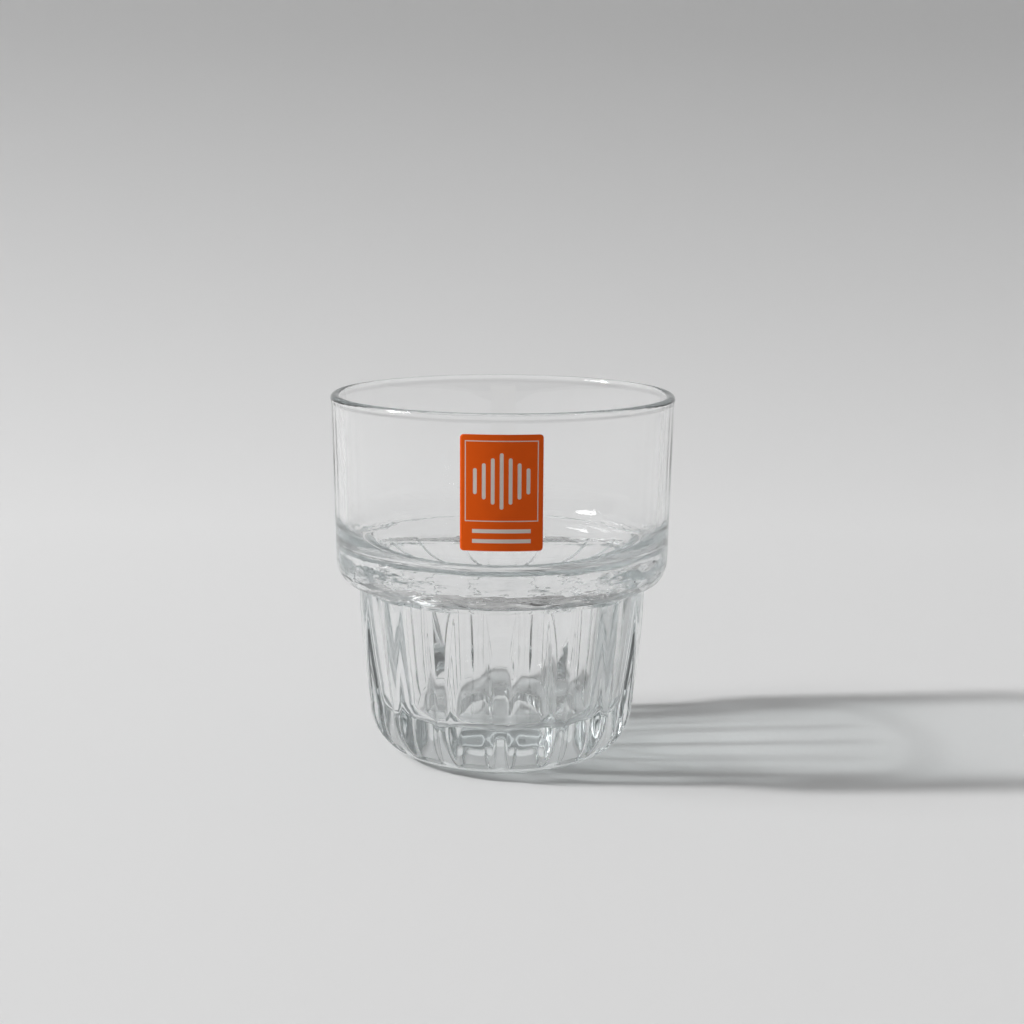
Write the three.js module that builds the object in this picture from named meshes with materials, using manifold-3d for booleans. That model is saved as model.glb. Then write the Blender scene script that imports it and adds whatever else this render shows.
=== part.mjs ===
// Stackable tea glass in millimetres: one pressed clear body, standing on Z = 0, and a label on its front.
// A plain wide band stands on a narrower fluted foot, so that one glass's foot nests in another's band.

import * as THREE from 'three';
import { mergeVertices } from 'three/addons/utils/BufferGeometryUtils.js';
import Module from 'manifold-3d';

// Overall form
const HEIGHT = 89.5;
const RIM_RADIUS = 42;

// Upper band, with its rounded rim and the slight draft that lets it leave the mould
const RIM_WALL = 2.3;
const BEAD_PROUD = 0.2;
const BAND_LOW_RADIUS = 40.9;
const BAND_WALL = 2.5;
const BAND_FLOOR_FILLET = 3.2;

// Step between band and foot: its underside is a full quarter round
const STEP_BOTTOM = 43.6;
const LEDGE_HEIGHT = 52;
const LEDGE_ROUND = 2.4;

// Fluted foot: it leans in towards a wide round heel, with a slight swell on the way
const FOOT_TOP_RADIUS = 35.4;
const FOOT_LOW_RADIUS = 33.5;
const FOOT_SWELL = 0.7;
const FOOT_WALL = 3.7;
const HEEL_HEIGHT = 14;
const STANDING_RADIUS = 21;
const STANDING_WIDTH = 3;
const PUNT_RISE = 1.2;

// Lower hollow, narrower towards its floor than the foot is outside
const FLOOR_HEIGHT = 11.3;
const FLOOR_RADIUS = 19.5;
const FLOOR_CORNER = 6;

// Flutes: troughs with a flat floor between rounded flanks, deepest at the heel. They stop square where the
// mould's base plate begins.
const FLUTES = 15;
const FLUTE_FLAT = 4.4;
const FLUTE_FLANK_RADIUS = 4.6;
const FLUTE_TOP_DEPTH = 0.4;
const FLUTE_HEEL_DEPTH = 2.1;
const FLUTE_RUN_OUT = 0.4;
const FLUTE_END_HEIGHT = 3;
const CUTTER_REACH = 3;

// Label, rolled onto the band's draft
const LABEL_WIDTH = 18.7;
const LABEL_HEIGHT = 26.6;
const LABEL_BELOW_RIM = 4.6;
const LABEL_CORNER = 0.8;
const LABEL_THICKNESS = 0.12;
const LABEL_GAP = 0.1;

// Facets around the glass: a whole number for each flute, and an even one
const AROUND = FLUTES * 4;

const wasm = await Module();
wasm.setup();

// Turns a closed geometry into a solid that can be cut and joined.
function toSolid(geometry) {
  const bare = geometry.clone();
  bare.deleteAttribute('normal');
  bare.deleteAttribute('uv');
  const merged = mergeVertices(bare, 1e-4);
  const corners = merged.index.array;
  const kept = [];
  for (let i = 0; i < corners.length; i += 3) {
    const [a, b, c] = [corners[i], corners[i + 1], corners[i + 2]];
    if (a !== b && b !== c && c !== a) kept.push(a, b, c);
  }
  return new wasm.Manifold(new wasm.Mesh({
    numProp: 3,
    vertProperties: merged.attributes.position.array,
    triVerts: new Uint32Array(kept),
  }));
}

// Turns a solid back into a geometry.
function toGeometry(solid) {
  const mesh = solid.getMesh();
  const geometry = new THREE.BufferGeometry();
  geometry.setAttribute('position', new THREE.BufferAttribute(new Float32Array(mesh.vertProperties), 3));
  geometry.setIndex(new THREE.BufferAttribute(new Uint32Array(mesh.triVerts), 1));
  geometry.computeVertexNormals();
  return geometry;
}

// Revolves an outline of (radius, height) points about Z, its seam facing the front at -Y.
function revolve(outline) {
  return new THREE.LatheGeometry(outline, AROUND).rotateX(Math.PI / 2);
}

// Points on a quarter or half ellipse, from one angle to another, in radians.
function ellipseArc(centreRadius, centreHeight, radiusAcross, radiusUp, from, to, steps) {
  const points = [];
  for (let i = 0; i <= steps; i++) {
    const angle = from + (to - from) * i / steps;
    points.push(new THREE.Vector2(
      centreRadius + radiusAcross * Math.cos(angle),
      centreHeight + radiusUp * Math.sin(angle),
    ));
  }
  return points;
}

// The band's outer face is a cone from the step's round up to the bead under the rim.
const BEAD_RADIUS = RIM_WALL / 2;
const BEAD_CENTRE = HEIGHT - BEAD_RADIUS;
const STEP_ROUND = BAND_LOW_RADIUS - FOOT_TOP_RADIUS;
const BAND_BOTTOM = STEP_BOTTOM + STEP_ROUND;
const BAND_TOP = BEAD_CENTRE - BEAD_RADIUS;
const BAND_TOP_RADIUS = RIM_RADIUS - BEAD_PROUD;

function bandRadius(height) {
  const share = (height - BAND_BOTTOM) / (BAND_TOP - BAND_BOTTOM);
  return BAND_LOW_RADIUS + (BAND_TOP_RADIUS - BAND_LOW_RADIUS) * share;
}

// The foot's outer face, as a share of the way down from the step to the heel.
function footHeight(share) {
  return STEP_BOTTOM + (HEEL_HEIGHT - STEP_BOTTOM) * share;
}

function footRadius(share) {
  const swell = 4 * FOOT_SWELL * share * (1 - share);
  return FOOT_TOP_RADIUS + (FOOT_LOW_RADIUS - FOOT_TOP_RADIUS) * share + swell;
}

function footFace(steps) {
  const points = [];
  for (let i = 1; i < steps; i++) {
    const share = 1 - i / steps;
    points.push(new THREE.Vector2(footRadius(share), footHeight(share)));
  }
  return points;
}

// One closed outline, from the middle of the underside round the outside and down the inside to the floor.
function bodyOutline() {
  const ringInner = STANDING_RADIUS - STANDING_WIDTH;
  const ledgeWall = bandRadius(LEDGE_HEIGHT + BAND_FLOOR_FILLET) - BAND_WALL;
  const throat = FOOT_TOP_RADIUS - FOOT_WALL;
  const hollowLow = FLOOR_RADIUS + FLOOR_CORNER;
  return [
    ...ellipseArc(0, 0, ringInner, PUNT_RISE, Math.PI / 2, 0, 4),
    ...ellipseArc(
      STANDING_RADIUS, HEEL_HEIGHT, FOOT_LOW_RADIUS - STANDING_RADIUS, HEEL_HEIGHT, -Math.PI / 2, 0, 9),
    ...footFace(5),
    ...ellipseArc(FOOT_TOP_RADIUS, BAND_BOTTOM, STEP_ROUND, STEP_ROUND, -Math.PI / 2, 0, 6),
    new THREE.Vector2(BAND_TOP_RADIUS, BAND_TOP),
    ...ellipseArc(RIM_RADIUS - BEAD_RADIUS, BEAD_CENTRE, BEAD_RADIUS, BEAD_RADIUS, 0, Math.PI, 8),
    ...ellipseArc(
      ledgeWall - BAND_FLOOR_FILLET, LEDGE_HEIGHT + BAND_FLOOR_FILLET,
      BAND_FLOOR_FILLET, BAND_FLOOR_FILLET, 0, -Math.PI / 2, 4),
    ...ellipseArc(
      throat + LEDGE_ROUND, LEDGE_HEIGHT - LEDGE_ROUND, LEDGE_ROUND, LEDGE_ROUND, Math.PI / 2, Math.PI, 4),
    ...ellipseArc(
      FLOOR_RADIUS, FLOOR_HEIGHT + FLOOR_CORNER, FLOOR_CORNER, FLOOR_CORNER, 0, -Math.PI / 2, 7),
    new THREE.Vector2(0, FLOOR_HEIGHT),
  ];
}

// The line that the floor of one flute follows, in the plane of its middle: down the foot, then round the
// heel on an ellipse a little taller than the heel's own, so that it nears the surface before it stops.
class FluteFloor extends THREE.Curve {
  getPoint(share, target = new THREE.Vector3()) {
    const alongFoot = Math.min(share * 2, 1);
    const roundHeel = Math.max(share * 2 - 1, 0);
    const depth = FLUTE_TOP_DEPTH + (FLUTE_HEEL_DEPTH - FLUTE_TOP_DEPTH) * alongFoot;
    const drop = HEEL_HEIGHT + FLUTE_RUN_OUT;
    const angle = roundHeel * Math.asin((HEEL_HEIGHT - FLUTE_END_HEIGHT) / drop);
    const turnedIn = (FOOT_LOW_RADIUS - FLUTE_HEEL_DEPTH - STANDING_RADIUS) * (1 - Math.cos(angle));
    const radius = footRadius(alongFoot) - depth - turnedIn;
    return target.set(0, -radius, footHeight(alongFoot) - drop * Math.sin(angle));
  }
}

// A cutter for one flute at the front: its section, with the floor on the line, swept down the flute's floor.
function fluteCutter() {
  const side = FLUTE_FLAT / 2;
  const sweep = Math.acos(1 - CUTTER_REACH / FLUTE_FLANK_RADIUS);
  const section = new THREE.Shape();
  section.absarc(side, -FLUTE_FLANK_RADIUS, FLUTE_FLANK_RADIUS, Math.PI / 2 - sweep, Math.PI / 2);
  section.absarc(-side, -FLUTE_FLANK_RADIUS, FLUTE_FLANK_RADIUS, Math.PI / 2, Math.PI / 2 + sweep);
  section.closePath();
  return new THREE.ExtrudeGeometry(section, {
    extrudePath: new FluteFloor(),
    steps: 10,
    curveSegments: 4,
  });
}

// The revolved body with a ring of flutes cut into its foot. A rib between two flutes faces the front.
function glassBody() {
  const cutter = toSolid(fluteCutter());
  let body = toSolid(revolve(bodyOutline()));
  for (let i = 0; i < FLUTES; i++) {
    body = body.subtract(cutter.rotate([0, 0, 360 * (i + 0.5) / FLUTES]));
  }
  return toGeometry(body);
}

// A rounded rectangle seen from the front, pushed through a thin cone that lies just off the band.
function frontLabel() {
  const top = HEIGHT - LABEL_BELOW_RIM;
  const bottom = top - LABEL_HEIGHT;
  const lowRadius = bandRadius(bottom) + LABEL_GAP;
  const topRadius = bandRadius(top) + LABEL_GAP;
  const sheet = revolve([
    new THREE.Vector2(lowRadius, bottom),
    new THREE.Vector2(lowRadius + LABEL_THICKNESS, bottom),
    new THREE.Vector2(topRadius + LABEL_THICKNESS, top),
    new THREE.Vector2(topRadius, top),
    new THREE.Vector2(lowRadius, bottom),
  ]);
  const right = LABEL_WIDTH / 2;
  const face = new THREE.Shape();
  face.absarc(right - LABEL_CORNER, bottom + LABEL_CORNER, LABEL_CORNER, -Math.PI / 2, 0);
  face.absarc(right - LABEL_CORNER, top - LABEL_CORNER, LABEL_CORNER, 0, Math.PI / 2);
  face.absarc(LABEL_CORNER - right, top - LABEL_CORNER, LABEL_CORNER, Math.PI / 2, Math.PI);
  face.absarc(LABEL_CORNER - right, bottom + LABEL_CORNER, LABEL_CORNER, Math.PI, Math.PI * 1.5);
  face.closePath();
  const reach = { depth: RIM_RADIUS * 2, bevelEnabled: false, curveSegments: 4 };
  const punch = new THREE.ExtrudeGeometry(face, reach);
  punch.rotateX(Math.PI / 2);
  return toGeometry(toSolid(sheet).intersect(toSolid(punch)));
}

function piece(name, geometry, look) {
  const mesh = new THREE.Mesh(geometry, new THREE.MeshStandardMaterial(look));
  mesh.name = name;
  return mesh;
}

const glass = new THREE.Group();
glass.add(piece('glass_body', glassBody(), { color: 0xe9f2f0, roughness: 0.03, metalness: 0 }));
glass.add(piece('front_label', frontLabel(), { color: 0xd9480f, roughness: 0.45, metalness: 0 }));

export default glass;
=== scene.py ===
import math

import bpy
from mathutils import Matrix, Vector


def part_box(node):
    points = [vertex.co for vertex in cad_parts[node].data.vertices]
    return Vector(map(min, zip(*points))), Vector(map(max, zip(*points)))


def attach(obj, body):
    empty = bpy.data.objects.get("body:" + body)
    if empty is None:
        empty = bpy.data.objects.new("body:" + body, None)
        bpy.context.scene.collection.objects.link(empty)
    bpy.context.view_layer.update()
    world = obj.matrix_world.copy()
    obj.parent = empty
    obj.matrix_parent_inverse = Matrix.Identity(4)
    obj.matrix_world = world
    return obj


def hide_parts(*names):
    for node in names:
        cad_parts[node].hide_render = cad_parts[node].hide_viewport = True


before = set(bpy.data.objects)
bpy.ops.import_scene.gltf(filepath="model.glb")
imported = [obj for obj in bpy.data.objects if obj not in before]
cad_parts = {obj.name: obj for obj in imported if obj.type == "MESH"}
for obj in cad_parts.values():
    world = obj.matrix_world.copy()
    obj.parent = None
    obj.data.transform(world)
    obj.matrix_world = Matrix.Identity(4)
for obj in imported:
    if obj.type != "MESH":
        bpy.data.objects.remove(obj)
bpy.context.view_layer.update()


# Glass body
# One lump of clear soda-lime glass, pressed in a mould and then flame polished, so that every edge is soft.
# A plain band stands on a fluted foot. The flutes stop square where the mould's base plate began.
# Inside, a ledge at the step carries the foot of the next glass when they are stacked.

MM = 0.001
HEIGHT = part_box("glass_body")[1][2]
RIM_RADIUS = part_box("glass_body")[1][0]
RIM_WALL = 2.3 * MM
BEAD_PROUD = 0.2 * MM
BAND_LOW_RADIUS = 40.9 * MM
BAND_WALL = 2.5 * MM
BAND_FLOOR_FILLET = 9 * MM
STEP_BOTTOM = 43.6 * MM
STEP_ROUND = 5.7 * MM
STEP_LIP_RADIUS = 37.3 * MM
FOOT_TOP_HEIGHT = 47 * MM
LEDGE_HEIGHT = 52 * MM
LEDGE_ROUND = 2.4 * MM
FOOT_TOP_RADIUS = 35.4 * MM
FOOT_LOW_RADIUS = 33.5 * MM
FOOT_SWELL = 0.7 * MM
FOOT_WALL = 3.7 * MM
HEEL_HEIGHT = 14 * MM
STANDING_RADIUS = 21 * MM
STANDING_WIDTH = 3 * MM
PUNT_RISE = 1.2 * MM
FLOOR_HEIGHT = 11.3 * MM
FLOOR_RADIUS = 19.5 * MM
FLOOR_CORNER = 6 * MM
FLUTES = 15
FLUTE_FLAT = 4.4 * MM
FLUTE_FLANK_RADIUS = 4 * MM
FLUTE_TOP_DEPTH = 0.4 * MM
FLUTE_HEEL_DEPTH = 2.1 * MM
FLUTE_RUN_OUT = 0.4 * MM
FLUTE_END_HEIGHT = 3 * MM
FLUTE_EDGE_SOFTNESS = 0.15 * MM
HEEL_ROWS = 44
FOOT_ROWS = 36
STEP_ROWS = 24
STEP_UNDERSIDE_ROWS = 6
BEAD_ROWS = 6


def arc(centre, radii, start, end, steps):
    """Points on an ellipse in the plane of radius and height, between two angles in degrees."""
    points = []
    for i in range(steps + 1):
        angle = math.radians(start + (end - start) * i / steps)
        points.append((centre[0] + radii[0] * math.cos(angle), centre[1] + radii[1] * math.sin(angle)))
    return points


def straight(start, end, steps):
    """The points between two ends of a straight stretch, without the ends."""
    shares = [i / steps for i in range(1, steps)]
    return [(start[0] + (end[0] - start[0]) * t, start[1] + (end[1] - start[1]) * t) for t in shares]


bead_radius = RIM_WALL / 2
bead_centre = (RIM_RADIUS - bead_radius, HEIGHT - bead_radius)
band_bottom = STEP_BOTTOM + STEP_ROUND
band_top = HEIGHT - RIM_WALL


def band_radius(height):
    """The band's outer face is a cone from the step's round up to the bead under the rim."""
    share = (height - band_bottom) / (band_top - band_bottom)
    return BAND_LOW_RADIUS + (RIM_RADIUS - BEAD_PROUD - BAND_LOW_RADIUS) * share


# Half a section through the glass, from the middle of the underside round the outside to the middle of the
# floor. Each row of a fluted stretch also says how far in and down from it the floor of the flute lies.
heel_width = FOOT_LOW_RADIUS - STANDING_RADIUS
plate_edge = math.asin((HEEL_HEIGHT - FLUTE_END_HEIGHT) / HEEL_HEIGHT)
heel_centre = (STANDING_RADIUS, HEEL_HEIGHT)
underside = arc((0, 0), (STANDING_RADIUS - STANDING_WIDTH, PUNT_RISE), 90, 0, 8)
base_plate = arc(heel_centre, (heel_width, HEEL_HEIGHT), -90, -math.degrees(plate_edge), 18)
fluted = []
for i in range(1, HEEL_ROWS + 1):
    angle = plate_edge * (1 - i / HEEL_ROWS)
    point = (STANDING_RADIUS + heel_width * math.cos(angle), HEEL_HEIGHT * (1 - math.sin(angle)))
    fluted.append((point, (FLUTE_HEEL_DEPTH * math.cos(angle), FLUTE_RUN_OUT * math.sin(angle))))
for i in range(1, FOOT_ROWS + 1):
    share = i / FOOT_ROWS
    swell = 4 * FOOT_SWELL * share * (1 - share)
    radius = FOOT_LOW_RADIUS + (FOOT_TOP_RADIUS - FOOT_LOW_RADIUS) * share + swell
    point = (radius, HEEL_HEIGHT + (FOOT_TOP_HEIGHT - HEEL_HEIGHT) * share)
    fluted.append((point, (FLUTE_HEEL_DEPTH + (FLUTE_TOP_DEPTH - FLUTE_HEEL_DEPTH) * share, 0)))
step_width = BAND_LOW_RADIUS - STEP_LIP_RADIUS
step = arc((STEP_LIP_RADIUS, band_bottom), (step_width, STEP_ROUND), -90, 0, STEP_ROWS)
step = straight(fluted[-1][0], step[0], STEP_UNDERSIDE_ROWS) + step
band_end = (RIM_RADIUS - BEAD_PROUD, band_top)
band = straight(step[-1], band_end, 8) + [band_end]
bead = []
for i in range(1, BEAD_ROWS):
    share = i / BEAD_ROWS
    swell = (1 - math.cos(math.pi * share)) / 2
    bead.append((band_end[0] + BEAD_PROUD * swell, band_top + (bead_centre[1] - band_top) * share))
bead += arc(bead_centre, (bead_radius, bead_radius), 0, 180, 20)
throat = FOOT_TOP_RADIUS - FOOT_WALL
fillet_end = (throat + LEDGE_ROUND, LEDGE_HEIGHT + BAND_FLOOR_FILLET)
fillet_width = band_radius(fillet_end[1]) - BAND_WALL - fillet_end[0]
fillet = arc(fillet_end, (fillet_width, BAND_FLOOR_FILLET), 0, -90, 20)
ledge_centre = (throat + LEDGE_ROUND, LEDGE_HEIGHT - LEDGE_ROUND)
ledge = arc(ledge_centre, (LEDGE_ROUND, LEDGE_ROUND), 90, 180, 12)[1:]
corner = arc((FLOOR_RADIUS, FLOOR_HEIGHT + FLOOR_CORNER), (FLOOR_CORNER, FLOOR_CORNER), 0, -90, 16)
band_inside = straight(bead[-1], fillet[0], 8)
foot_inside = straight(ledge[-1], corner[0], 14)
floor_middle = (0, FLOOR_HEIGHT)
floor = straight(corner[-1], floor_middle, 5) + [floor_middle]
below = underside + base_plate
above = step + band + bead + band_inside + fillet + ledge + foot_inside + corner + floor
rows = [(point, None) for point in below] + fluted + [(point, None) for point in above]

# The section as a line of points, with what the flutes need to know at each of them
section_mesh = bpy.data.meshes.new("glass_section")
section_mesh.from_pydata([(radius, 0, height) for (radius, height), _ in rows], [], [])
first_fluted = len(below)
last_fluted = first_fluted + len(fluted) - 1
facing = []
for i in range(len(rows)):
    before = Vector(rows[max(i - 1, 0)][0])
    after = Vector(rows[min(i + 1, len(rows) - 1)][0])
    along = (after - before).normalized()
    facing.append((along.y, -along.x))
flute_on, flute_depth, flute_radius, flute_bend = [], [], [], []
for i in range(len(rows)):
    nearest = min(max(i, first_fluted), last_fluted)
    out, up = facing[nearest]
    inset, drop = rows[nearest][1]
    radius = rows[nearest][0][0]
    flute_on.append(float(i == nearest))
    flute_depth.append(inset * out + drop * up)
    flute_radius.append(radius)
    flute_bend.append(out / radius)
outward = [part for out, up in facing for part in (out, 0, up)]
section_mesh.attributes.new("outward", "FLOAT_VECTOR", "POINT").data.foreach_set("vector", outward)
for name, values in (
    ("flute_on", flute_on),
    ("flute_depth", flute_depth),
    ("flute_radius", flute_radius),
    ("flute_bend", flute_bend),
):
    section_mesh.attributes.new(name, "FLOAT", "POINT").data.foreach_set("value", values)


class Signal:
    """A socket of a node tree. Arithmetic on it adds Math nodes, and add() adds a node of any other kind."""

    def __init__(self, socket):
        self.socket = socket

    @classmethod
    def add(cls, tree, kind, settings=None, values=None, output=0):
        node = tree.nodes.new(kind)
        for name, value in (settings or {}).items():
            setattr(node, name, value)
        for name, value in (values or {}).items():
            if isinstance(value, cls):
                tree.links.new(value.socket, node.inputs[name])
            else:
                node.inputs[name].default_value = value
        return cls(node.outputs[output])

    def output(self, name):
        return Signal(self.socket.node.outputs[name])

    def math(self, operation, *others, clamp=False):
        settings = {"operation": operation, "use_clamp": clamp}
        values = dict(enumerate((self, *others)))
        return Signal.add(self.socket.id_data, "ShaderNodeMath", settings, values)

    def flipped(self, operation, other):
        values = {0: other, 1: self}
        return Signal.add(self.socket.id_data, "ShaderNodeMath", {"operation": operation}, values)

    def __add__(self, other):
        return self.math("ADD", other)

    def __sub__(self, other):
        return self.math("SUBTRACT", other)

    def __mul__(self, other):
        return self.math("MULTIPLY", other)

    def __truediv__(self, other):
        return self.math("DIVIDE", other)

    def __rsub__(self, other):
        return self.flipped("SUBTRACT", other)

    def __rtruediv__(self, other):
        return self.flipped("DIVIDE", other)

    __radd__ = __add__
    __rmul__ = __mul__

    def root(self):
        return self.math("SQRT")

    def floor(self):
        return self.math("FLOOR")

    def abs(self):
        return self.math("ABSOLUTE")

    def at_least(self, other):
        return self.math("MAXIMUM", other)

    def at_most(self, other):
        return self.math("MINIMUM", other)

    def share(self, low, high):
        """How far this value is from low to high, held between 0 and 1."""
        return (self - low).math("DIVIDE", high - low, clamp=True)


# The rule that turns the section into the glass: a sheet with one row for each point of the section is
# rolled round the axis, and pressed in where a flute runs. Its columns follow the flutes' edges.
FLANK_COLUMNS = 8
FLAT_COLUMNS = 4
RIB_COLUMNS = 4
WIDEST_FLUTE = 0.97
SEAM_GAP = 0.002 * MM

rolled = bpy.data.node_groups.new("fluted_glass", "GeometryNodeTree")
rolled.is_modifier = True
socket_names = {}
for name, kind in (
    ("Section", "NodeSocketGeometry"),
    ("Flutes", "NodeSocketInt"),
    ("Flat width", "NodeSocketFloat"),
    ("Flank radius", "NodeSocketFloat"),
    ("Edge softness", "NodeSocketFloat"),
    ("Glass", "NodeSocketMaterial"),
):
    socket_names[name] = rolled.interface.new_socket(name, in_out="INPUT", socket_type=kind).identifier
rolled.interface.new_socket("Body", in_out="OUTPUT", socket_type="NodeSocketGeometry")
given = Signal.add(rolled, "NodeGroupInput")
section = given.output("Section")
flutes = given.output("Flutes")
half_flat = given.output("Flat width") / 2
flank_radius = given.output("Flank radius")
softness = given.output("Edge softness")

columns_per_flute = 2 * FLANK_COLUMNS + FLAT_COLUMNS + RIB_COLUMNS
columns = flutes * columns_per_flute + 1
counted = Signal.add(rolled, "GeometryNodeAttributeDomainSize", {"component": "MESH"}, {"Geometry": section})
row_count = counted.output("Point Count")
sheet = Signal.add(rolled, "GeometryNodeMeshGrid", {}, {"Vertices X": row_count, "Vertices Y": columns})
index = Signal.add(rolled, "GeometryNodeInputIndex")
row = (index / columns).floor()
column = index - row * columns
flute = (column / columns_per_flute).floor()
place = column - flute * columns_per_flute


def along_section(name, kind):
    """A value of the section, read at this vertex's row."""
    if name == "position":
        value = Signal.add(rolled, "GeometryNodeInputPosition")
    else:
        value = Signal.add(rolled, "GeometryNodeInputNamedAttribute", {"data_type": kind}, {"Name": name})
    values = {"Geometry": section, "Value": value, "Index": row}
    return Signal.add(rolled, "GeometryNodeSampleIndex", {"data_type": kind}, values)


place_on_section = along_section("position", "FLOAT_VECTOR")
point = Signal.add(rolled, "ShaderNodeSeparateXYZ", {}, {"Vector": place_on_section})
outward = along_section("outward", "FLOAT_VECTOR")
normal = Signal.add(rolled, "ShaderNodeSeparateXYZ", {}, {"Vector": outward})
depth = along_section("flute_depth", "FLOAT")
radius = along_section("flute_radius", "FLOAT")
bend = along_section("flute_bend", "FLOAT")

# Half the angle that a flute and its flat floor take up, where its flanks meet the round of the foot
pitch = math.pi / flutes
square = 0.5 / flank_radius + bend / 2
slope = half_flat / flank_radius
rest = half_flat * slope / 2 - depth
half_width = (slope + (slope * slope - 4 * square * rest).root()) / (2 * square)
half_angle = (half_width / radius).math("ARCSINE").at_most(WIDEST_FLUTE * pitch)
flat_angle = (half_flat / radius).math("ARCSINE")
flank_angle = half_angle - flat_angle
flat_start = FLANK_COLUMNS
flat_end = flat_start + FLAT_COLUMNS
rib_start = flat_end + FLANK_COLUMNS
aside = (
    flank_angle * (place.share(0, flat_start) + place.share(flat_end, rib_start))
    + 2 * flat_angle * place.share(flat_start, flat_end)
    + 2 * (pitch - half_angle) * place.share(rib_start, columns_per_flute)
    - half_angle
)
across = radius * aside.abs().at_most(2 * pitch - aside).math("SINE")
past_flat = (across - half_flat).at_least(0)
below_edge = depth - bend * across * across / 2 - past_flat * past_flat / (2 * flank_radius)
pressed = (below_edge + (below_edge * below_edge + softness * softness).root()) / 2
pressed = pressed * along_section("flute_on", "FLOAT")
turn = 2 * pitch * (flute + 0.5) + aside
reach = point.output("X") - normal.output("X") * pressed
position = Signal.add(rolled, "ShaderNodeCombineXYZ", {}, {
    "X": reach * turn.math("SINE"),
    "Y": 0 - reach * turn.math("COSINE"),
    "Z": point.output("Z") - normal.output("Z") * pressed,
})
body = Signal.add(rolled, "GeometryNodeSetPosition", {}, {"Geometry": sheet, "Position": position})
body = Signal.add(rolled, "GeometryNodeMergeByDistance", {}, {"Geometry": body, "Distance": SEAM_GAP})
body = Signal.add(rolled, "GeometryNodeFlipFaces", {}, {"Mesh": body})
body = Signal.add(rolled, "GeometryNodeSetShadeSmooth", {}, {"Geometry": body})
body = Signal.add(rolled, "GeometryNodeRealizeInstances", {}, {"Geometry": body})
glass_input = given.output("Glass")
body = Signal.add(rolled, "GeometryNodeSetMaterial", {}, {"Geometry": body, "Material": glass_input})
result = rolled.nodes.new("NodeGroupOutput")
rolled.links.new(body.socket, result.inputs["Body"])


def new_material(name):
    """An empty material and its node tree."""
    material = bpy.data.materials.new(name)
    material.use_nodes = True
    material.node_tree.nodes.clear()
    return material, material.node_tree


def noise(tree, place, per_metre, detail):
    """Even noise on the piece's own coordinates, with so many bumps to the metre."""
    values = {"Vector": place, "Scale": per_metre, "Detail": detail}
    return Signal.add(tree, "ShaderNodeTexNoise", {}, values)


# Clear glass: faint waves from pressing and cooling, a crinkled step, and a trace of green in its thickness
GLASS_IOR = 1.52
GLASS_TINT = (0.72, 0.80, 0.81, 1)
GLASS_TINT_DENSITY = 8
WAVES_PER_METRE = 90
WAVE_HEIGHT = 0.02 * MM
WRINKLES_PER_METRE = 240
WRINKLE_STRETCH = (0.4, 0.4, 1.6)
WRINKLE_WAVES = 45
WRINKLE_LOW = 42 * MM
WRINKLE_LOW_FADE = 1 * MM
WRINKLE_HIGH = 53 * MM
WRINKLE_HIGH_FADE = 4 * MM
SMEARS_PER_METRE = 35
SMEAR_FROM = 0.5
SMEAR_TO = 0.8
SMEAR_ROUGHNESS = 0.02

clear_glass, tree = new_material("clear_glass")
place = Signal.add(tree, "ShaderNodeTexCoord", {}, {}, "Object")
coordinates = Signal.add(tree, "ShaderNodeSeparateXYZ", {}, {"Vector": place})
height = coordinates.output("Z")
waves = noise(tree, place, WAVES_PER_METRE, 1)
smears = noise(tree, place, SMEARS_PER_METRE, 3)
drawn_out = Signal.add(tree, "ShaderNodeMapping", {}, {"Vector": place, "Scale": WRINKLE_STRETCH})
wrinkles = noise(tree, drawn_out, WRINKLES_PER_METRE, 2)
above_lip = height.share(WRINKLE_LOW, WRINKLE_LOW + WRINKLE_LOW_FADE)
below_ledge = 1 - height.share(WRINKLE_HIGH - WRINKLE_HIGH_FADE, WRINKLE_HIGH)
relief = waves + WRINKLE_WAVES * wrinkles * (above_lip * below_ledge)
surface = Signal.add(tree, "ShaderNodeBsdfPrincipled", {}, {
    "Base Color": (1, 1, 1, 1),
    "Roughness": smears.share(SMEAR_FROM, SMEAR_TO) * SMEAR_ROUGHNESS,
    "IOR": GLASS_IOR,
    "Transmission Weight": 1,
    "Normal": Signal.add(tree, "ShaderNodeBump", {}, {"Height": relief, "Distance": WAVE_HEIGHT}),
})
tint = Signal.add(tree, "ShaderNodeVolumeAbsorption", {}, {
    "Color": GLASS_TINT,
    "Density": GLASS_TINT_DENSITY,
})

# The glass's shadow on the table is painted. Lamp light and table light pass the glass straight, without
# bending, and a mask holds part of the lamp light back. It makes painted shade where the light grazes the
# faces and higher up the glass, and a fixed pattern of painted light and dark streaks round the foot, one
# pair to each flute, in place of the streaks that the flutes really gather.
GLASS_SHADE = (0.95, 0.96, 0.96, 1)
GRAZING_FROM = 0.35
GRAZING_TO = 1
HOLLOW_SHADE = 0.05
HOLLOW_FROM = 16 * MM
HOLLOW_TO = 30 * MM
EDGE_FROM = 0.4
EDGE_TO = 0.75
STREAK_FADE = 34 * MM
STREAK_LIGHT = 0.9
STREAK_SHADE = 0.45
STREAK_WIDTH = 0.6

path = Signal.add(tree, "ShaderNodeLightPath")
grazing = Signal.add(tree, "ShaderNodeLayerWeight", {}, {"Blend": 0.5}, "Facing")
let_through = Signal.add(tree, "ShaderNodeBsdfTransparent", {}, {"Color": GLASS_SHADE})
held_back = Signal.add(tree, "ShaderNodeBsdfTransparent", {}, {"Color": (0, 0, 0, 1)})
on_foot = 1 - height.share(STREAK_FADE, STEP_BOTTOM)
around = coordinates.output("Y").math("ARCTAN2", coordinates.output("X"))
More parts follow.
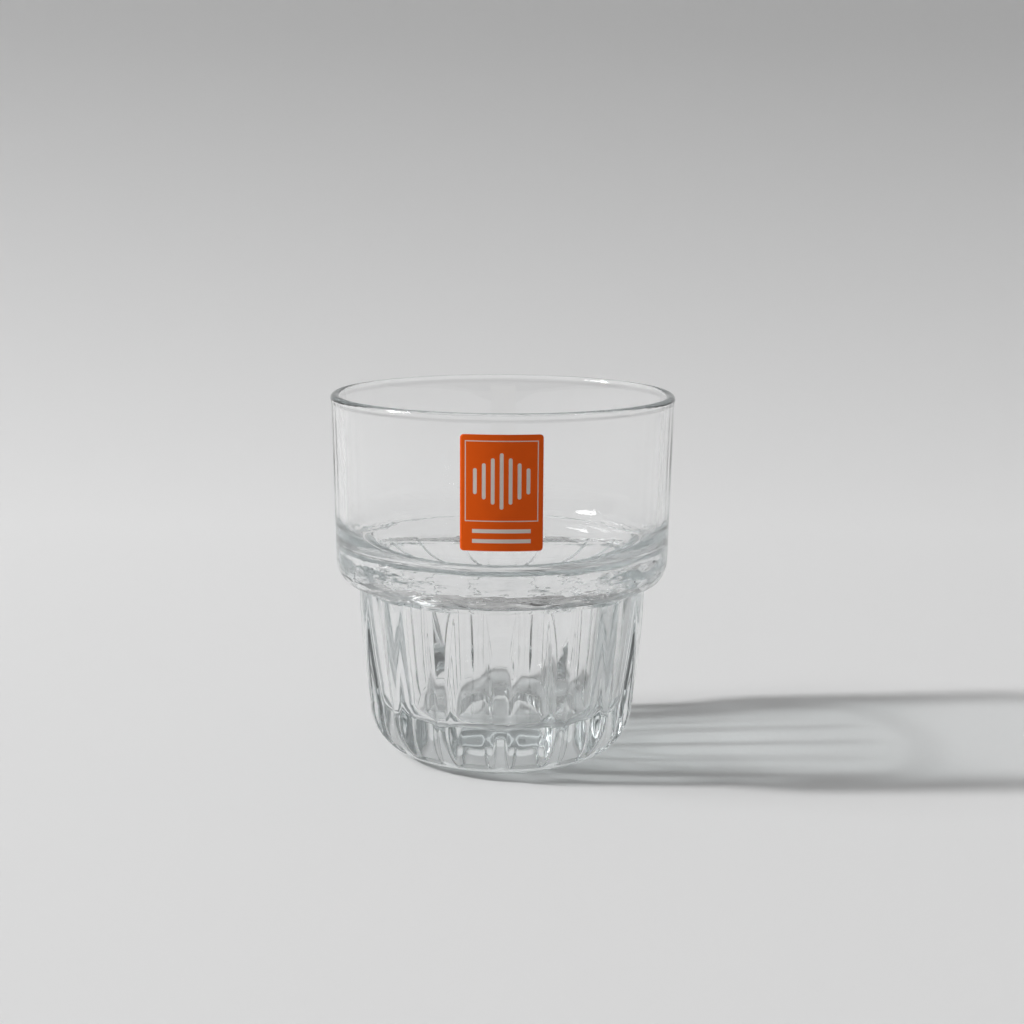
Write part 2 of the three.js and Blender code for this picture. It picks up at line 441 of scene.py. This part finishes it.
# Painted shadow streaks: a fixed pattern round the axis, not light that the flutes bend
painted_shadow_streaks = (0.5 * FLUTES * around).math("SINE").abs()
painted_shadow = grazing.share(GRAZING_FROM, GRAZING_TO) * (1 - STREAK_LIGHT * painted_shadow_streaks * on_foot)
painted_shadow = painted_shadow.at_least(HOLLOW_SHADE * height.share(HOLLOW_FROM, HOLLOW_TO))
painted_shadow = painted_shadow.at_least(grazing.share(EDGE_FROM, EDGE_TO))
painted_shadow = painted_shadow.at_least(STREAK_SHADE * on_foot * (1 - painted_shadow_streaks.share(0, STREAK_WIDTH)))
shade = Signal.add(tree, "ShaderNodeMixShader", {}, {0: painted_shadow, 1: let_through, 2: held_back})
diffuse_ray = path.output("Is Diffuse Ray")
shadow_ray = path.output("Is Shadow Ray")
# Table light passes the glass straight and only dimmed, in place of light bent through it
surface = Signal.add(tree, "ShaderNodeMixShader", {}, {0: diffuse_ray, 1: surface, 2: let_through})
surface = Signal.add(tree, "ShaderNodeMixShader", {}, {0: shadow_ray, 1: surface, 2: shade})
result = tree.nodes.new("ShaderNodeOutputMaterial")
tree.links.new(surface.socket, result.inputs["Surface"])
tree.links.new(tint.socket, result.inputs["Volume"])

section_line = bpy.data.objects.new("glass_section", section_mesh)
bpy.context.scene.collection.objects.link(section_line)
rule = section_line.modifiers.new("fluted_glass", "NODES")
rule.node_group = rolled
for name, value in {
    "Flutes": FLUTES,
    "Flat width": FLUTE_FLAT,
    "Flank radius": FLUTE_FLANK_RADIUS,
    "Edge softness": FLUTE_EDGE_SOFTNESS,
    "Glass": clear_glass,
}.items():
    rule[socket_names[name]] = value
evaluated = section_line.evaluated_get(bpy.context.evaluated_depsgraph_get())
glass_mesh = bpy.data.meshes.new_from_object(evaluated)
bpy.data.objects.remove(section_line)
glass_mesh.name = "glass"
glass = bpy.data.objects.new("glass", glass_mesh)
bpy.context.scene.collection.objects.link(glass)
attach(glass, "root")
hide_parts("glass_body")


# Front label
# A self-adhesive paper label, printed in one strong orange with the pale paper left bare for the ornament.
# It is die cut with rounded corners and rolled onto the plain band.

LABEL_LOW, LABEL_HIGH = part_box("front_label")
LABEL_CORNER = 0.8 * MM
LABEL_GLUE = 0.01 * MM
LABEL_PROUD = 0.2 * MM
LABEL_ROWS = 24
LABEL_CORNER_ROWS = 5
LABEL_COLUMNS = 40

label_half = LABEL_HIGH[0]
label_bottom = LABEL_LOW[2]
label_top = LABEL_HIGH[2]
corner_angles = [math.pi / 2 * i / LABEL_CORNER_ROWS for i in range(LABEL_CORNER_ROWS)]
corner_drops = [LABEL_CORNER * (1 - math.cos(angle)) for angle in corner_angles]
middle_low = label_bottom + LABEL_CORNER
middle_high = label_top - LABEL_CORNER
levels = [label_bottom + drop for drop in corner_drops]
levels += [middle_low + (middle_high - middle_low) * i / LABEL_ROWS for i in range(LABEL_ROWS + 1)]
levels += [label_top - drop for drop in reversed(corner_drops)]
vertices = []
for lift in (LABEL_PROUD, LABEL_GLUE):
    for level in levels:
        into_corner = max(middle_low - level, level - middle_high, 0)
        half = label_half - LABEL_CORNER + math.sqrt(max(LABEL_CORNER**2 - into_corner**2, 0))
        radius = band_radius(level) + lift
        for i in range(LABEL_COLUMNS + 1):
            angle = math.asin(half / radius) * (2 * i / LABEL_COLUMNS - 1)
            vertices.append((radius * math.sin(angle), -radius * math.cos(angle), level))
across = LABEL_COLUMNS + 1
layer = across * len(levels)
front, back = [], []
for i in range(len(levels) - 1):
    for j in range(LABEL_COLUMNS):
        a = i * across + j
        front.append((a, a + 1, a + across + 1, a + across))
        back.append(tuple(layer + vertex for vertex in (a, a + across, a + across + 1, a + 1)))
loop = list(range(across))
loop += [i * across + LABEL_COLUMNS for i in range(1, len(levels))]
loop += [layer - 1 - i for i in range(1, across)]
loop += [i * across for i in range(len(levels) - 2, 0, -1)]
edge = []
for a, b in zip(loop, loop[1:] + loop[:1]):
    edge.append((b, a, layer + a, layer + b))
label_mesh = bpy.data.meshes.new("label")
label_mesh.from_pydata(vertices, [], front + back + edge)
for face in label_mesh.polygons:
    face.use_smooth = face.index < len(front) + len(back)
    face.material_index = 0 if face.index < len(front) else 1

# The print: a thin frame, a fan of upright strokes inside it, and a pair of rules below, all bare paper
INK = (0.90, 0.112, 0.0005, 1)
INK_THIN = (0.77, 0.09, 0.0005, 1)
INK_MOTTLE = 0.25
MOTTLES_PER_METRE = 260
PAPER = (0.80, 0.76, 0.70, 1)
PAPER_FIBRE = (0.70, 0.64, 0.56, 1)
PAPER_BARE = 0.95
LINE = 0.2
BLUR = 0.06
FRAME_HALF_WIDTH = 8.15
FRAME_LOW = 65.2
FRAME_HIGH = 83.4
STROKE_PITCH = 2
STROKE_HALF_WIDTH = 0.42
STROKE_HALF_HEIGHT = 6.4
STROKE_FALL = 1.15
STROKES_EACH_SIDE = 3
RULE_HEIGHTS = (60.6, 62.9)
RULE_HALF_WIDTH = 6.6
RULE_HALF_HEIGHT = 0.45
FIBRES_PER_METRE = 2600
FIBRE_HEIGHT = 0.012 * MM
PRINT_ROUGHNESS = 0.42
PRINT_SPECULAR = 0.15
PAPER_ROUGHNESS = 0.7


def inside(distance):
    """1 where a signed distance in millimetres is below zero, else 0, with a soft printed edge between."""
    return 1 - distance.share(-BLUR, BLUR)


def mixed(tree, share, first, second):
    """A colour that lies the given share of the way from one colour to another."""
    return Signal.add(tree, "ShaderNodeMix", {"data_type": "RGBA"}, {0: share, 6: first, 7: second}, 2)


printed, tree = new_material("label_print")
place = Signal.add(tree, "ShaderNodeTexCoord", {}, {}, "Object")
on_label = Signal.add(tree, "ShaderNodeSeparateXYZ", {}, {"Vector": place})
x = on_label.output("X") / MM
z = on_label.output("Z") / MM
frame_middle = (FRAME_LOW + FRAME_HIGH) / 2
frame_half_height = (FRAME_HIGH - FRAME_LOW) / 2
to_frame = (x.abs() - FRAME_HALF_WIDTH).at_least((z - frame_middle).abs() - frame_half_height)
bare = inside(to_frame.abs() - LINE / 2)
stroke = (x / STROKE_PITCH).math("ROUND")
stroke_half_height = STROKE_HALF_HEIGHT - STROKE_FALL * stroke.abs()
beside = (x - stroke * STROKE_PITCH).abs()
over = ((z - frame_middle).abs() - stroke_half_height + STROKE_HALF_WIDTH).at_least(0)
to_stroke = (beside * beside + over * over).root() - STROKE_HALF_WIDTH
among = stroke.abs().math("LESS_THAN", STROKES_EACH_SIDE + 0.5)
bare = bare.at_least(inside(to_stroke) * among)
for height in RULE_HEIGHTS:
    to_rule = (x.abs() - RULE_HALF_WIDTH).at_least((z - height).abs() - RULE_HALF_HEIGHT)
    bare = bare.at_least(inside(to_rule))
fibres = noise(tree, place, FIBRES_PER_METRE, 3)
mottle = noise(tree, place, MOTTLES_PER_METRE, 4)
ink = mixed(tree, mottle.share(0.35, 0.75) * INK_MOTTLE, INK, INK_THIN)
surface = Signal.add(tree, "ShaderNodeBsdfPrincipled", {}, {
    "Base Color": mixed(tree, bare * PAPER_BARE, ink, PAPER),
    "Roughness": PRINT_ROUGHNESS + 0.16 * fibres + 0.1 * bare,
    "Specular IOR Level": PRINT_SPECULAR,
    "Normal": Signal.add(tree, "ShaderNodeBump", {}, {"Height": fibres, "Distance": FIBRE_HEIGHT}),
})
result = tree.nodes.new("ShaderNodeOutputMaterial")
tree.links.new(surface.socket, result.inputs["Surface"])

bare_paper, tree = new_material("label_paper_back")
place = Signal.add(tree, "ShaderNodeTexCoord", {}, {}, "Object")
fibres = noise(tree, place, FIBRES_PER_METRE, 3)
surface = Signal.add(tree, "ShaderNodeBsdfPrincipled", {}, {
    "Base Color": mixed(tree, fibres, PAPER, PAPER_FIBRE),
    "Roughness": PAPER_ROUGHNESS,
})
result = tree.nodes.new("ShaderNodeOutputMaterial")
tree.links.new(surface.socket, result.inputs["Surface"])

label_mesh.materials.append(printed)
label_mesh.materials.append(bare_paper)
label = bpy.data.objects.new("label", label_mesh)
bpy.context.scene.collection.objects.link(label)
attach(label, "root")
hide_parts("front_label")


# Table and backdrop
# One pale matt sheet of paper, laid flat under the glass and swept up behind it in a wide curve.
# Its colour changes slowly from the table to the upright part. The upright part is painted a little lighter,
# as painted light that makes up for the lamp light that reaches it less.

SHEET_HALF_WIDTH = 2.5
SHEET_FRONT = -1.5
SWEEP_START = 0.29
SWEEP_RADIUS = 0.22
SHEET_TOP = 2
TABLE_COLOUR = (0.79, 0.79, 0.79, 1)
WALL_COLOUR_PAINTED_LIGHTER = (0.84, 0.84, 0.84, 1)
WALL_FROM = 0.3
SHEET_ROUGHNESS = 0.9

sweep = arc((SWEEP_START, SWEEP_RADIUS), (SWEEP_RADIUS, SWEEP_RADIUS), -90, 0, 24)
line = [(SHEET_FRONT, 0)] + sweep + [(SWEEP_START + SWEEP_RADIUS, SHEET_TOP)]
sides = (-SHEET_HALF_WIDTH, SHEET_HALF_WIDTH)
backdrop_mesh = bpy.data.meshes.new("backdrop")
backdrop_mesh.from_pydata(
    [(side, away, up) for away, up in line for side in sides],
    [],
    [(2 * i, 2 * i + 1, 2 * i + 3, 2 * i + 2) for i in range(len(line) - 1)],
)
for face in backdrop_mesh.polygons:
    face.use_smooth = True
pale_sheet, tree = new_material("pale_sheet")
place = Signal.add(tree, "ShaderNodeTexCoord", {}, {}, "Object")
height = Signal.add(tree, "ShaderNodeSeparateXYZ", {}, {"Vector": place}, "Z")
surface = Signal.add(tree, "ShaderNodeBsdfPrincipled", {}, {
    # Painted light: the upright part gets a lighter colour where the lamps light it less
    "Base Color": mixed(tree, height.share(0, WALL_FROM), TABLE_COLOUR, WALL_COLOUR_PAINTED_LIGHTER),
    "Roughness": SHEET_ROUGHNESS,
})
result = tree.nodes.new("ShaderNodeOutputMaterial")
tree.links.new(surface.socket, result.inputs["Surface"])
backdrop_mesh.materials.append(pale_sheet)
backdrop = bpy.data.objects.new("backdrop", backdrop_mesh)
bpy.context.scene.collection.objects.link(backdrop)


# Light
# A parallel key light from the left, low enough for a long shadow, and a soft round window above it, whose
# reflection shows in the ledge. The room is brighter on the left, and dark behind the camera and far aside.

KEY_AZIMUTH = 184
KEY_ELEVATION = 32
KEY_SPREAD = 4.5
KEY_STRENGTH = 2.45
WINDOW_AZIMUTH = 184
WINDOW_ELEVATION = 42
WINDOW_DISTANCE = 2
WINDOW_SIZE = 0.57
WINDOW_WATTS = 9.5
ROOM_BRIGHT = 0.4
ROOM_DARK = 0.05
ROOM_SIDE = 0.3
ROOM_FLANKS = 0.85
FLANKS_FROM = 0.7
FLANKS_TO = 0.95


def add_lamp(name, kind, azimuth, elevation, distance):
    """Adds a lamp that faces the middle of the glass from the given side and height."""
    across = math.cos(math.radians(elevation))
    towards = Vector((
        across * math.cos(math.radians(azimuth)),
        across * math.sin(math.radians(azimuth)),
        math.sin(math.radians(elevation)),
    ))
    lamp = bpy.data.lights.new(name, kind)
    holder = bpy.data.objects.new(name, lamp)
    holder.location = Vector((0, 0, HEIGHT / 2)) + distance * towards
    holder.rotation_euler = (-towards).to_track_quat("-Z", "Y").to_euler()
    bpy.context.scene.collection.objects.link(holder)
    return lamp


key_lamp = add_lamp("key_lamp", "SUN", KEY_AZIMUTH, KEY_ELEVATION, WINDOW_DISTANCE)
key_lamp.angle = math.radians(KEY_SPREAD)
key_lamp.energy = KEY_STRENGTH
window_lamp = add_lamp("window_lamp", "AREA", WINDOW_AZIMUTH, WINDOW_ELEVATION, WINDOW_DISTANCE)
window_lamp.shape = "DISK"
window_lamp.size = WINDOW_SIZE
window_lamp.energy = WINDOW_WATTS

room = bpy.data.worlds.new("room")
room.use_nodes = True
tree = room.node_tree
tree.nodes.clear()
direction = Signal.add(tree, "ShaderNodeTexCoord", {}, {}, "Generated")
towards_room = Signal.add(tree, "ShaderNodeSeparateXYZ", {}, {"Vector": direction})
away = towards_room.output("Y").share(-0.9, 0.1)
left = 1 - towards_room.output("X").share(-0.9, 0.9)
flanks = 1 - ROOM_FLANKS * towards_room.output("X").abs().share(FLANKS_FROM, FLANKS_TO)
side = 1 - ROOM_SIDE + 2 * ROOM_SIDE * left
bright = ROOM_DARK + (ROOM_BRIGHT - ROOM_DARK) * away * side * flanks
light = Signal.add(tree, "ShaderNodeBackground", {}, {"Color": bright})
result = tree.nodes.new("ShaderNodeOutputWorld")
tree.links.new(light.socket, result.inputs["Surface"])
bpy.context.scene.world = room


# Camera
# A short telephoto view, a little from above and hardly rolled.
# The lens follows from the focal length in pixels of a square picture.

PICTURE_SIDE = 1024
FOCAL_PIXELS = 1852
CAMERA_PLACE = (1.9 * MM, -450 * MM, 141.9 * MM)
CAMERA_PITCH = 10.34
CAMERA_ROLL = -0.35

camera_lens = bpy.data.cameras.new("camera")
camera_lens.sensor_width = 36
camera_lens.lens = camera_lens.sensor_width * FOCAL_PIXELS / PICTURE_SIDE
camera_lens.clip_start = 0.01
camera = bpy.data.objects.new("camera", camera_lens)
camera.location = CAMERA_PLACE
camera.rotation_euler = (math.radians(90 - CAMERA_PITCH), math.radians(CAMERA_ROLL), 0)
bpy.context.scene.collection.objects.link(camera)
bpy.context.scene.camera = camera
bpy.context.scene.view_settings.view_transform = "Standard"

# Light may cross the glass's many faces as often as it really does
LIGHT_CROSSINGS = 26
bpy.context.scene.cycles.max_bounces = LIGHT_CROSSINGS
bpy.context.scene.cycles.transmission_bounces = LIGHT_CROSSINGS
bpy.context.scene.cycles.glossy_bounces = LIGHT_CROSSINGS
